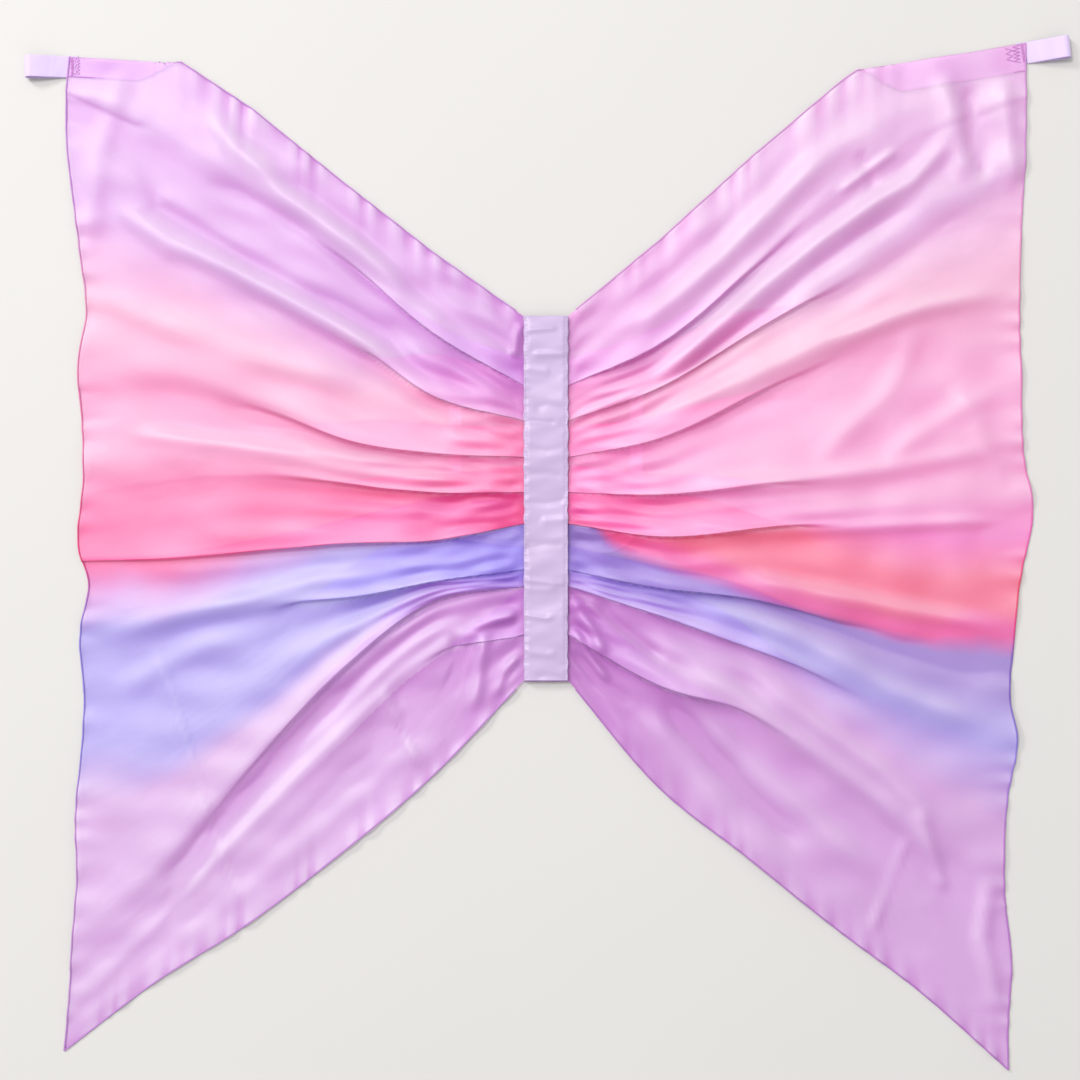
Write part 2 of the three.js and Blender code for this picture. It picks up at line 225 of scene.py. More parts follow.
def ease(low, high, x):
    """0 up to low, rising smoothly to 1 at high."""
    t = np.clip((x - low) / (high - low), 0, 1)
    return t * t * (3 - 2 * t)


def fade(low, high, x):
    """1 up to low, falling smoothly to 0 at high."""
    return 1 - ease(low, high, x)


def bell(x, width):
    return np.exp(-(x / width) ** 2)


def through(pairs, at):
    """A smooth curve through (at, value) pairs, with the slope of each pair's neighbours."""
    xs, ys = np.array(pairs, float).T
    slopes = np.gradient(ys, xs)
    at = np.clip(at, xs[0], xs[-1])
    i = np.clip(np.searchsorted(xs, at, side="right") - 1, 0, len(xs) - 2)
    span = xs[i + 1] - xs[i]
    t = (at - xs[i]) / span
    t2, t3 = t * t, t * t * t
    return (ys[i] * (2 * t3 - 3 * t2 + 1) + ys[i + 1] * (3 * t2 - 2 * t3)
            + slopes[i] * span * (t3 - 2 * t2 + t) + slopes[i + 1] * span * (t3 - t2))


def ripples(a, b, seed, waves=9, low=0.6, high=1.6):
    """Smooth repeatable unevenness, about -1 to 1, with a wavelength near 1 along a and b."""
    rng = np.random.default_rng(seed)
    total = np.zeros(np.broadcast(a, b).shape)
    for _ in range(waves):
        angle = rng.uniform(0, 2 * math.pi)
        turn = 2 * math.pi * rng.uniform(low, high)
        phase = rng.uniform(0, 2 * math.pi)
        total += np.sin(turn * (a * math.cos(angle) + b * math.sin(angle)) + phase)
    return total / math.sqrt(waves)


def make_object(name, verts, faces, material):
    mesh = bpy.data.meshes.new(name)
    mesh.from_pydata((np.asarray(verts) * MM).tolist(), [], faces)
    mesh.polygons.foreach_set("use_smooth", [True] * len(mesh.polygons))
    mesh.update()
    piece = bpy.data.objects.new(name, mesh)
    bpy.context.collection.objects.link(piece)
    mesh.materials.append(material)
    return piece


def grid_faces(rows, cols, flip=False, wrap=False):
    """Quads over points stored row by row; wrap joins each row's last column to its first."""
    i, j = np.meshgrid(np.arange(rows - 1), np.arange(cols if wrap else cols - 1), indexing="ij")
    right = (j + 1) % cols
    quads = np.stack([i * cols + j, i * cols + right, (i + 1) * cols + right, (i + 1) * cols + j], -1)
    quads = quads.reshape(-1, 4)
    return (quads[:, ::-1] if flip else quads).tolist()


def set_point_values(piece, name, values):
    layer = piece.data.attributes.new(name, "FLOAT", "POINT")
    layer.data.foreach_set("value", np.asarray(values, np.float32).ravel())


def set_uv(piece, across, along):
    """Stores the cloth's own flat coordinates, in metres, as the UV map."""
    layer = piece.data.uv_layers.new(name="flat")
    index = np.empty(len(piece.data.loops), int)
    piece.data.loops.foreach_get("vertex_index", index)
    pairs = np.stack([np.ravel(across)[index], np.ravel(along)[index]], -1) * MM
    layer.data.foreach_set("uv", pairs.astype(np.float32).ravel())


# ---- Materials ----
class Nodes:
    """A short way to write a material's node tree."""

    def __init__(self, name):
        self.material = bpy.data.materials.new(name)
        self.material.use_nodes = True
        self.tree = self.material.node_tree
        self.shader = self.tree.nodes["Principled BSDF"]
        self.output = self.tree.nodes["Material Output"]

    def add(self, kind, inputs=None, **settings):
        node = self.tree.nodes.new(kind)
        for key, value in settings.items():
            setattr(node, key, value)
        for key, value in (inputs or {}).items():
            self.put(node.inputs[key], value)
        return node

    def put(self, socket, value):
        if isinstance(value, bpy.types.NodeSocket):
            self.tree.links.new(value, socket)
        else:
            socket.default_value = value

    def set(self, **values):
        for key, value in values.items():
            self.put(self.shader.inputs[key.replace("_", " ")], value)

    def math(self, operation, a, b=0.0):
        node = self.add("ShaderNodeMath", operation=operation)
        self.put(node.inputs[0], a)
        self.put(node.inputs[1], b)
        return node.outputs[0]

    def noise(self, vector, scale, detail=2.0):
        node = self.add("ShaderNodeTexNoise", {"Vector": vector, "Scale": scale, "Detail": detail})
        return node.outputs["Fac"]

    def ramp(self, factor, stops):
        node = self.add("ShaderNodeValToRGB", {"Fac": factor})
        elements = node.color_ramp.elements
        for at, _ in stops[2:]:
            elements.new(at)
        for element, (at, color) in zip(elements, stops):
            element.position = at
            element.color = (*color, 1)
        return node.outputs["Color"]

    def scaled(self, color, factor):
        """The colour times a number."""
        node = self.add("ShaderNodeVectorMath", operation="SCALE")
        self.put(node.inputs[0], color)
        self.put(node.inputs["Scale"], factor)
        return node.outputs[0]

    def flat_uv(self):
        return self.add("ShaderNodeUVMap", uv_map="flat").outputs["UV"]

    def point_value(self, name):
        return self.add("ShaderNodeAttribute", attribute_name=name).outputs["Fac"]

    def about(self, base, value, gain):
        """base + value * gain."""
        node = self.math("MULTIPLY_ADD", value, gain).node
        node.inputs[2].default_value = base
        return node.outputs[0]

    def streaks(self, uv, squeeze, scale, detail=2.0):
        """Noise squeezed along the cloth, so that its marks lie across it."""
        place = self.add("ShaderNodeMapping", {"Vector": uv, "Scale": (1, squeeze, 1)})
        return self.noise(place.outputs[0], scale, detail)

    def gamma(self, color, power):
        return self.add("ShaderNodeGamma", {"Color": color, "Gamma": power}).outputs["Color"]

    def mixed(self, a, b, factor, blend="MIX"):
        node = self.add("ShaderNodeMix", data_type="RGBA", blend_type=blend)
        for key, value in (("Factor", factor), ("A", a), ("B", b)):
            self.put(node.inputs[key], value)
        return node.outputs["Result"]

    def bump(self, height, distance, strength, under=None):
        """Relief from a height; under is the normal that it lies on."""
        node = self.add("ShaderNodeBump", {"Height": height, "Distance": distance, "Strength": strength})
        if under is not None:
            self.put(node.inputs["Normal"], under)
        return node.outputs["Normal"]


def weave_height(nodes, uv, pitch):
    """A plain weave: crossed threads of the given pitch in metres, in the UV map's metres."""
    split = nodes.add("ShaderNodeSeparateXYZ", {"Vector": uv})
    turns = 2 * math.pi / pitch
    warp = nodes.math("SINE", nodes.math("MULTIPLY", split.outputs[0], turns))
    weft = nodes.math("SINE", nodes.math("MULTIPLY", split.outputs[1], turns))
    return nodes.math("MULTIPLY", warp, weft)


# Dip-dye colours down the silk, by share of its height.
LAVENDER = (0.81, 0.50, 0.88)
LILAC = (0.88, 0.55, 0.87)
PALE_PINK = (0.98, 0.54, 0.76)
PINK = (0.99, 0.44, 0.70)
SUGAR_PINK = (0.99, 0.47, 0.77)
HOT_PINK = (0.99, 0.20, 0.48)
ROSE = (0.99, 0.33, 0.72)
CORAL = (0.99, 0.24, 0.40)
MAGENTA = (0.96, 0.18, 0.52)
ORCHID = (0.74, 0.38, 0.80)
PERIWINKLE = (0.53, 0.46, 0.93)
VIOLET = (0.46, 0.32, 0.76)
MAUVE = (0.80, 0.52, 0.88)
PURPLE = (0.76, 0.44, 0.83)
DYES = {
    "left": ((0, LAVENDER), (0.15, LAVENDER), (0.25, PALE_PINK), (0.33, PINK), (0.41, PINK),
             (0.475, HOT_PINK), (0.522, HOT_PINK), (0.55, ORCHID), (0.58, PERIWINKLE),
             (0.705, PERIWINKLE), (0.765, MAUVE), (1, MAUVE)),
    "right": ((0, LILAC), (0.12, LILAC), (0.225, PALE_PINK), (0.33, SUGAR_PINK), (0.44, SUGAR_PINK),
              (0.485, ROSE), (0.525, CORAL), (0.552, CORAL), (0.568, MAGENTA),
              (0.578, MAGENTA), (0.60, VIOLET), (0.635, VIOLET), (0.69, PERIWINKLE),
              (0.77, PURPLE), (1, PURPLE)),
}
WHITE = (1, 1, 1, 1)
DEEPEST = 0.68  # how much a tone of 1 deepens the dye, added to its exponent
SHADE = (0.99, 0.85, 0.92, 1)  # what a tone of 1 multiplies the dye by
SHEER = 0.5  # share of the light that goes through the silk
THREAD_PITCH = 0.0006  # metres, of the silk's weave
KNIT_PITCH = 0.0012  # metres


def dye_color(nodes, side, uv, blur=0.02):
    """The dip-dye gradient, with the uneven edge that a wet dye bath leaves."""
    dye = nodes.point_value("dye")
    drift = nodes.math("SUBTRACT", nodes.noise(uv, 7.0, 3.0), 0.5)
    return nodes.ramp(nodes.math("ADD", dye, nodes.math("MULTIPLY", drift, blur)), DYES[side])


def silk_material(side):
    """Sheer dyed silk: the tone paints shade and highlight into the dye, and tinted light goes through.
    """
    nodes = Nodes(f"silk_{side}")
    uv = nodes.flat_uv()
    dye = dye_color(nodes, side, uv, 0.05)
    mottle = nodes.about(0.92, nodes.noise(uv, 16.0, 4.0), 0.16)
    # The tone paints shade and highlight into the dye: above 0 deeper and pinker, below 0 paler.
    tone = nodes.point_value("tone")
    dye = nodes.gamma(dye, nodes.about(1, tone, DEEPEST))
    dye = nodes.mixed(dye, SHADE, nodes.math("MAXIMUM", tone, 0.0), "MULTIPLY")
    dye = nodes.scaled(dye, mottle)
    slub = nodes.streaks(uv, 40, 30.0)
    limp = nodes.streaks(uv, 1.8, 14.0, 3.0)
    weave = nodes.bump(nodes.math("ADD", weave_height(nodes, uv, THREAD_PITCH), slub), 0.00004, 0.6)
    soft = nodes.bump(limp, 0.003, 0.6, weave)
    nodes.set(Base_Color=dye, Roughness=0.34, Sheen_Weight=0.35, Sheen_Roughness=0.35,
              Sheen_Tint=(1, 0.9, 1, 1), Specular_IOR_Level=0.8, Normal=soft)
    clear = nodes.add("ShaderNodeBsdfTransparent", {"Color": nodes.mixed(WHITE, dye, 0.5)})
    blend = nodes.add("ShaderNodeMixShader", {"Fac": SHEER})
    nodes.put(blend.inputs[1], clear.outputs[0])
    nodes.put(blend.inputs[2], nodes.shader.outputs[0])
    nodes.put(nodes.output.inputs["Surface"], blend.outputs[0])
    return nodes.material


def hem_material(side):
    """Overlock thread, dyed with the silk it edges, so a darker shade of the same colour."""
    nodes = Nodes(f"hem_thread_{side}")
    uv = nodes.flat_uv()
    dye = nodes.scaled(nodes.gamma(dye_color(nodes, side, uv), 1.8), 0.6)
    nodes.set(Base_Color=dye, Roughness=0.62, Sheen_Weight=0.2,
              Normal=nodes.bump(nodes.noise(uv, 900.0), 0.0001, 0.7))
    return nodes.material


def satin_material(name, color, roughness, shine):
    nodes = Nodes(name)
    uv = nodes.flat_uv()
    weft = nodes.streaks(uv, 60, 60.0)
    # Broad lighter and darker patches painted into the satin's colour as its sheen, with fine weft
    # streaks.
    sheen_patches = nodes.streaks(uv, 2.2, 16.0)
    shade = nodes.about(0.8, nodes.math("ADD", nodes.math("MULTIPLY", sheen_patches, 3.0), weft), 0.1)
    nodes.set(Base_Color=nodes.scaled(color, shade), Roughness=nodes.about(roughness, weft, 0.12),
              Sheen_Weight=0.15, Specular_IOR_Level=shine, Normal=nodes.bump(weft, 0.00008, 0.6))
    return nodes.material


def thread_material(name, color):
    nodes = Nodes(name)
    strands = nodes.noise(nodes.add("ShaderNodeTexCoord").outputs["Object"], 1500.0)
    nodes.set(Base_Color=nodes.scaled(color, nodes.about(0.85, strands, 0.3)), Roughness=0.5,
              Sheen_Weight=0.25, Normal=nodes.bump(strands, 0.0001, 0.8))
    return nodes.material


def elastic_material():
    nodes = Nodes("knitted_elastic")
    knit = weave_height(nodes, nodes.flat_uv(), KNIT_PITCH)
    nodes.set(Base_Color=nodes.scaled((0.86, 0.84, 0.88), nodes.about(0.94, knit, 0.06)),
              Roughness=0.75, Sheen_Weight=0.3, Normal=nodes.bump(knit, 0.00015, 0.8))
    return nodes.material


SATIN = satin_material("satin_ribbon", (0.45, 0.34, 0.53), 0.34, 0.65)
LOOP_SATIN = satin_material("satin_loop", (0.60, 0.48, 0.72), 0.5, 0.35)
SEAM_THREAD = thread_material("seam_thread", (0.66, 0.52, 0.82))
TACK_THREAD = thread_material("tack_thread", (0.52, 0.16, 0.50))
ELASTIC = elastic_material()
HEM = {side: hem_material(side) for side in WINGS}
SILK = {side: silk_material(side) for side in WINGS}


# ---- The silk's shape ----
def band_heights():
    down = np.concatenate([[0], np.cumsum(PLEAT_SHARES)]) / sum(PLEAT_SHARES)
    return FRONT_HIGH[1] - down * BAND_LENGTH


def rim_ends(side):
    """Plan points of a wing's upper and lower outer corners, with x outwards."""
    wing = WINGS[side]
    low, high = box_mm(f"silk_wing_{side}")
    outer = max(abs(low[0]), abs(high[0]))
    return (outer - wing["tip_inset"], high[1]), (outer - wing["tail_inset"], low[1])


def crease_plan(side, u):
    """Plan position of each crease at the stations u: two arrays, stations by creases."""
    wing = WINGS[side]
    tip, tail = rim_ends(side)
    root = BAND_EDGE + ROOT_GAP
    xs, ys = [], []
    for k, (out, rise, _, _) in enumerate(wing["creases"]):
        bow = through(wing["rim"], out)
        rim_x, rim_y = mix(tip[0], tail[0], out) + bow, mix(tip[1], tail[1], out)
        if k:
            lift = through(list(zip(CREASE_STATIONS, (0, *rise, 0))), u)
        else:
            at, peak = wing["corner"]
            inner = [p for p in zip(CREASE_STATIONS, (0, *rise)) if p[0] < at - 0.02]
            lift = np.interp(u, *zip(*inner, (at, peak), (1, 0)))
        xs.append(mix(root, rim_x, u))
        ys.append(mix(band_heights()[k], rim_y, u) + lift)
    return np.array(xs).T, np.array(ys).T


def ground_height(u):
    """Lowest place for the silk: over the straps near the band, and just off the surface beyond."""
    return mix(1.7, 0.35, ease(0.24, 0.34, u))


def crest_heights(wing, u):
    top = MIDDLE_HIGH[2] - 0.2
    swell = through(((0, 0.8), (0.12, 1.15), (0.3, 1.35), (0.7, 1.0), (1, 0.5)), u)
    heights = np.array([crease[3] for crease in wing["creases"]])
    return mix(top, heights * swell, ease(0, 0.08, u))


def turned_depth(wing, u):
    """How much of the upper edge is folded under: a whole number of mesh rows, past the corner."""
    start = wing["corner"][0]
    rows = round(wing["turned_rows"] * float(ease(start - 0.02, start + 0.1, u)))
    return rows * SILK_HEIGHT / (ROWS - 1)


def zigzag(side, u, plan_x, plan_y):
    """A cross-section of the pleats: knots of (share down the silk, crease count, height)."""
    wing = WINGS[side]
    out = np.array([crease[0] for crease in wing["creases"]])
    edge = mix(np.array(FLAT_AT_BAND), out, ease(0, 1, u) ** 0.8)
    width = np.maximum(np.hypot(np.diff(plan_x), np.diff(plan_y)), 1.0)
    crest = crest_heights(wing, u)
    ground = ground_height(u)
    turned = turned_depth(wing, u)
    knots = [(0, turned / width[0], crest[0] - 0.8), (max(turned, 1) / SILK_HEIGHT, 0, crest[0])]
    step_above = 0
    for k in range(1, PLEATS):
        flat = (edge[k + 1] - edge[k]) * SILK_HEIGHT
        reach = wing["creases"][k][2]
        pressed = fade(0.5 * reach, 1.15 * reach, u)
        least = LEAST_TUCK if reach > 1 else 0
        tuck = np.clip((flat - width[k]) / 2, least, MOST_OVERLAP * width[k - 1]) * pressed
        depth = min(tuck / width[k - 1], 0.95 if k == 1 else MOST_OVERLAP)
        open_step = (crest[k] - ground) / (1 + depth)
        step = mix(min(STACK_STEP, open_step), open_step, ease(0, 0.16, u))
        slope = crest[k] - crest[k - 1] + step_above
        hidden = crest[k] - slope * depth - step
        back = (tuck + 0.6 * step) / (2 * tuck + width[k] + 1.2 * step)
        knots.append((edge[k], k, crest[k]))
        knots.append((mix(edge[k], edge[k + 1], back), k - depth, hidden))
        step_above = step
    knots.append((1, PLEATS, crest[PLEATS]))
    return np.array(knots), edge


def rounded(values, samples):
    """Gaussian smoothing along the cloth that leaves its two edges in place."""
    reach = int(3 * samples) + 1
    head = 2 * values[0] - values[reach:0:-1]
    tail = 2 * values[-1] - values[-2:-reach - 2:-1]
    taps = np.exp(-0.5 * (np.arange(-reach, reach + 1) / samples) ** 2)
    return np.convolve(np.concatenate([head, values, tail]), taps / taps.sum(), mode="valid")


def fold_line(x, y, path, width):
    """A bump of height 1 along a plan path: smooth across it, fading to its two ends."""
    best = np.full(x.shape, 1e9)
    along = np.zeros(x.shape)
    points = np.array(path, float)
    lengths = np.hypot(*np.diff(points, axis=0).T)
    total, done = lengths.sum(), 0
    for (ax, ay), (bx, by), length in zip(points, points[1:], lengths):
        t = np.clip(((x - ax) * (bx - ax) + (y - ay) * (by - ay)) / length ** 2, 0, 1)
        away = np.hypot(x - mix(ax, bx, t), y - mix(ay, by, t))
        nearer = away < best
        best = np.where(nearer, away, best)
        along = np.where(nearer, (done + t * length) / total, along)
        done += length
    return bell(best, width) * ease(0, 0.2, along) * fade(0.8, 1, along)


def wing_surface(side, stations):
    """The silk's points at the given stations: arrays of x, y, z and the share down the silk."""
    wing = WINGS[side]
    share = np.linspace(0, 1, ROWS)
    plan_x, plan_y = crease_plan(side, stations)
    out = np.array([crease[0] for crease in wing["creases"]])
    reach = np.array([max(crease[2], 0.05) for crease in wing["creases"]])
    reach[0] = 2  # the upper edge stays sharp all the way out
    per_mm = (ROWS - 1) / SILK_HEIGHT
    count = np.arange(PLEATS + 1)
    sheets = []
    for u, xs, ys in zip(stations, plan_x, plan_y):
        knots, edge = zigzag(side, u, xs, ys)
        turned = turned_depth(wing, u)
        k = np.interp(share, knots[:, 0], knots[:, 1])
        z = np.interp(share, knots[:, 0], knots[:, 2])
        x, y = np.interp(k, count, xs), np.interp(k, count, ys)
        rim_here = through(wing["rim"], np.interp(k, count, out))
        rim_creases = np.interp(k, count, through(wing["rim"], out))
        x = x + (rim_here - rim_creases) * ease(0.6, 1, u)
        pressed = np.interp(share, edge, fade(0.6 * reach, 1.25 * reach, u))
        if turned > 0:
            pressed = np.maximum(pressed, fade(turned + 5, 2 * turned + 14, share * SILK_HEIGHT))
        layers = []
        for values in (x, y, z, k):
            sharp = rounded(values, SHARP_CURL * per_mm)
            soft = rounded(values, SOFT_CURL * per_mm)
            layers.append(mix(soft, sharp, pressed))
        sheets.append(layers)
    x, y, z, k = np.moveaxis(np.array(sheets), 1, 0)
    return x, y, z, k, np.broadcast_to(share, x.shape)


def with_unevenness(side, x, y, z, k, u):
    """The pleats' height with gathers, drape, crumples and the listed loose folds on top."""
    seed = WINGS[side]["seed"]
    run = u * WING_REACH
    gathers = ripples(run / 420, k * 2.3, seed, low=0.8, high=1.5) * fade(0.35, 0.95, u)
    drape = ripples(run / 260, k * 0.9, seed + 1)
    crumple = ripples(x / 70, y / 55, seed + 2)
    z = z + ease(0.03, 0.25, u) * (gathers + 1.3 * drape + 0.8 * crumple)
    tucks = ripples(run / 60, k * 2.4, seed + 3, low=0.8, high=1.5)
    z = z + 1.1 * tucks * ease(0, 0.03, u) * fade(0.1, 0.35, u)
    for path, width, height in WINGS[side]["folds"]:
        z = z + FOLD_GAIN * height * fold_line(x, y, path, width)
    return z


def edge_pucker(side, u):
    """Short uneven waves along the upper and lower edges."""
    seed = WINGS[side]["seed"]
    run = u * WING_REACH
    shift = 1.8 * ripples(run / 80, 0 * run, seed + 4)
    waves = np.cos(2 * math.pi * run / PUCKER_LENGTH + shift)
    return waves * (0.7 + 0.5 * ripples(run / 60, 0 * run, seed + 6))


def wing_points(side):
    """The finished silk: its points, its stations, its share down the square and its tone of painted
    shade and highlight.
    """
    line = np.linspace(0, 1, STATIONS)
    stations = mix(line ** 1.5, line, 0.55)
    x, y, z, k, share = wing_surface(side, stations)
    u = np.broadcast_to(stations[:, None], x.shape)
    z = with_unevenness(side, x, y, z, k, u)
    from_top, from_bottom = share * SILK_HEIGHT, (1 - share) * SILK_HEIGHT
    pucker = edge_pucker(side, u)
    z = z + 1.7 * pucker * np.exp(-from_top / 14) * fade(0.7, 0.8, u)
    z = z + 1.2 * pucker * np.exp(-from_bottom / 12)
    shift = 2.5 * ripples(y / 110, 0 * y, WINGS[side]["seed"] + 5)
    scallop = np.cos(2 * math.pi * y / SCALLOP_LENGTH + shift)
    z = z + 0.9 * scallop * np.exp(-(1 - u) * SILK_HEIGHT / 2 / 13)
    ground = ground_height(u)
    z = ground + GROUND_BLEND * np.logaddexp(0, (z - ground) / GROUND_BLEND)
    (tip_x, tip_y), _ = rim_ends(side)
    over_loop = fade(16, 34, np.hypot(x - tip_x, y - tip_y + LOOP_WIDTH / 2))
    z = mix(z, 1.3 + 0.2 * z, over_loop)
    tone = painted_silk_shading(side, x, y, z, u, k)
    # Painted shade in the troughs of the edge puckers, paler on their crests: short dashes along the
    # upper and lower edges.
    pucker_shade = np.clip(0.3 - 1.6 * pucker, -0.3, 1.1)
    tone = tone + pucker_shade * np.exp(-from_top / 13) * fade(0.65, 0.8, u)
    tone = tone + 0.6 * pucker_shade * np.exp(-from_bottom / 10)
    return np.stack([WINGS[side]["side"] * x, y, z], -1), u, share, tone


def dye_line(side, u, share):
    """Share down the silk as the dye sees it: some colours run lower on part of their way out."""
    if side == "left":
        run = ease(0.15, 0.4, u) * fade(0.75, 1, u)
        return share - 0.05 * run * bell(share - 0.745, 0.055)
    run = ease(0.02, 0.1, u) * fade(0.35, 0.95, u)
    share = share - 0.042 * run * bell(share - 0.6, 0.05)
    return share - 0.03 * fade(0.1, 0.4, u) * bell(share - 0.49, 0.03)


LIGHT_FROM = (-0.55, 0.83)  # in plan, about where the light comes from
# What the tone gains under a crease (painted shade), on a crease's lip (painted highlight), on a slope
# to the light (painted light, and painted shade on slopes away from it) and on a ridge (painted
# highlight, and painted shade in valleys).
UNDER_CREASE, ON_LIP, TO_LIGHT, ON_RIDGE = 0.9, -0.2, -1.15, -0.3
# Pleats of the left wing painted deeper or paler near the band, as painted shade and painted light among
# the stacked layers: pleat, spread, tone.
LEFT_PAINTED_DEPTH = ((6.5, 0.6, 0.6), (2.5, 0.6, -0.25), (4.3, 0.5, -0.2))


def painted_silk_shading(side, x, y, z, u, k):
    """Painted shade and highlight for the sheer silk: above 0 deepens the dye in valleys, under creases
    and near the band, below 0 pales it on ridges and on slopes to the light.
    """
    out = np.stack([x, y, z], -1)
    normal = np.cross(np.gradient(out, axis=1), np.gradient(out, axis=0))
    normal /= np.maximum(np.linalg.norm(normal, axis=-1, keepdims=True), 1e-9)
    normal *= np.sign(normal[..., 2:] + 1e-9)
    slope = normal[..., :2] @ np.array([LIGHT_FROM[0] * WINGS[side]["side"], LIGHT_FROM[1]])
    wide = np.array([rounded(row, 16) for row in z])
    ridge = (z - wide) / 5
    past = k - np.floor(k)
    near = fade(0.12, 0.6, u)
    under = np.exp(-past / 0.22) * near * (k > 1)
    lip = np.exp(-(1 - past) / 0.10) * near * (k < PLEATS - 0.5)
    # Painted shade along the band's edge, where the silk runs in under it.
    band_edge_shade = np.exp(-(x - BAND_EDGE) / 8) * (0.35 + 0.25 * ripples(x / 60, y / 11, 31))
    # Painted shade where the pleats stack and gather near the band, deepening the dye among the layers.
    stack_end = 0.18 + 0.02 * ripples(k * 1.4, 0 * k, 37)
    stacked_shade = 0.2 * fade(stack_end - 0.02, stack_end + 0.02, u) * ease(0.8, 1.2, k)
    gathered_shade = 0.22 * fade(0.04, 0.5, u) + stacked_shade * fade(5, 6, k)
    tone = (UNDER_CREASE * under + ON_LIP * lip + TO_LIGHT * slope
            + ON_RIDGE * np.clip(ridge, -1.5, 1.5) + band_edge_shade + gathered_shade)
    at_band = fade(0.1, 0.35, u)
    if side == "left":
        # Painted shade in the deep wedge beside the band's upper end, where the pleats overlap.
        tone = tone + 1.3 * np.exp(-(x - BAND_EDGE) / 9) * fade(0.7, 1.0, k)
        # Painted shade or painted light on chosen pleats near the band.
        for pleat, spread, painted_depth in LEFT_PAINTED_DEPTH:
            tone = tone + painted_depth * bell(k - pleat, spread) * at_band
        # Painted shade just below the seventh crease, part of the way out.
        below = ease(0.15, 0.3, u) * fade(0.6, 0.78, u)
        tone = tone + 0.45 * below * bell(k - 7.25, 0.25)
    else:
        # Painted shade above the first crease, near the band.
        tone = tone + 0.42 * fade(0.7, 1.1, k) * fade(0.1, 0.4, u)
    # Painted shade on the lowest pleats near the band.
    tone = tone + 0.4 * ease(6.8, 7.3, k) * fade(0.04, 0.3, u)
    return np.clip(tone, -0.5, 1.5)


def make_wing(side):
    points, u, share, tone = wing_points(side)
    rows, cols = u.shape
    faces = grid_faces(rows, cols, flip=side == "right")
    piece = make_object(f"wing_silk_{side}", points.reshape(-1, 3), faces, SILK[side])
    set_point_values(piece, "dye", dye_line(side, u, share))
    set_point_values(piece, "tone", tone)
    set_uv(piece, u * SILK_HEIGHT / 2, share * SILK_HEIGHT)
    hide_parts(f"silk_wing_{side}")
    fold_with_wing(piece)
    return piece, points, share


def fold_with_wing(piece):
    """Bakes the piece's placement into its mesh."""
    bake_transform(piece)


# ---- Swept pieces ----
def tangents(path):
    tangent = np.gradient(path, axis=0)
    return tangent / np.linalg.norm(tangent, axis=1, keepdims=True)


def normals_along(path):
    """Two unit normals at each point of a path, turning smoothly."""
    tangent = tangents(path)
    side = np.cross(tangent, [0, 0, 1.0])
    side /= np.maximum(np.linalg.norm(side, axis=1, keepdims=True), 1e-9)
    return side, np.cross(side, tangent)


def run_along(path):
    """Distance along a path at each of its points."""
    return np.concatenate([[0], np.cumsum(np.linalg.norm(np.diff(path, axis=0), axis=1))])


def resample(path, step):
    """The path in even steps, and the distance along it at each point."""
    path = np.asarray(path, float)
    run = run_along(path)
    count = max(2, int(round(run[-1] / step)) + 1)
    at = np.linspace(0, run[-1], count)
    return np.stack([np.interp(at, run, path[:, i]) for i in range(3)], -1), at


def tube(path, radius, sides):
    """Points and faces of a closed tube; radius broadcasts over rings and sides."""
    side, up = normals_along(path)
    turn = 2 * math.pi * np.arange(sides) / sides
    size = np.broadcast_to(radius, (len(path), sides))
    ring = side[:, None] * np.cos(turn)[None, :, None] + up[:, None] * np.sin(turn)[None, :, None]
    points = path[:, None] + ring * size[..., None]
    faces = grid_faces(len(path), sides, wrap=True)
    last = (len(path) - 1) * sides
    faces.append(list(range(sides))[::-1])
    faces.append([last + i for i in range(sides)])
    return points.reshape(-1, 3), faces


def joined(parts):
    """Several (points, faces) sets as one."""
    points, faces, base = [], [], 0
    for part_points, part_faces in parts:
        points.append(part_points)
        faces.extend([[i + base for i in face] for face in part_faces])
        base += len(part_points)
    return np.concatenate(points), faces


# ---- Hems ----
HEM_RADIUS = 0.75
HEM_STITCH = 2.1  # distance between the coils of the thread
HEM_SIDES = 8
HEM_START = 3  # stations from the band to where the upper and lower hems begin


def make_hem(side, edge, points, share):
    line, dye = {
        "upper": (points[:, 0], share[:, 0]),
        "outer": (points[-1], share[-1]),
        "lower": (points[:, -1], share[:, -1]),
    }[edge]
    start = 0 if edge == "outer" else HEM_START
    line, dye = line[start:], dye[start:]
    path, at = resample(line, 0.7)
    path[:, 2] = np.maximum(path[:, 2], HEM_RADIUS)
    around = 2 * math.pi * np.arange(HEM_SIDES) / HEM_SIDES
    coil = np.sin(2 * math.pi * at[:, None] / HEM_STITCH + around[None])
    radius = HEM_RADIUS * (1 + 0.16 * coil + 0.08 * ripples(at / 9, 0 * at, 5)[:, None])
    verts, faces = tube(path, radius, HEM_SIDES)
    piece = make_object(f"hem_{edge}_{side}_thread", verts, faces, HEM[side])
    set_point_values(piece, "dye", np.repeat(np.interp(at, run_along(line), dye), HEM_SIDES))
    set_uv(piece, np.tile(around * HEM_RADIUS, len(at)), np.repeat(at, HEM_SIDES))
    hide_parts(f"hem_{edge}_{side}")
    fold_with_wing(piece)
    return piece


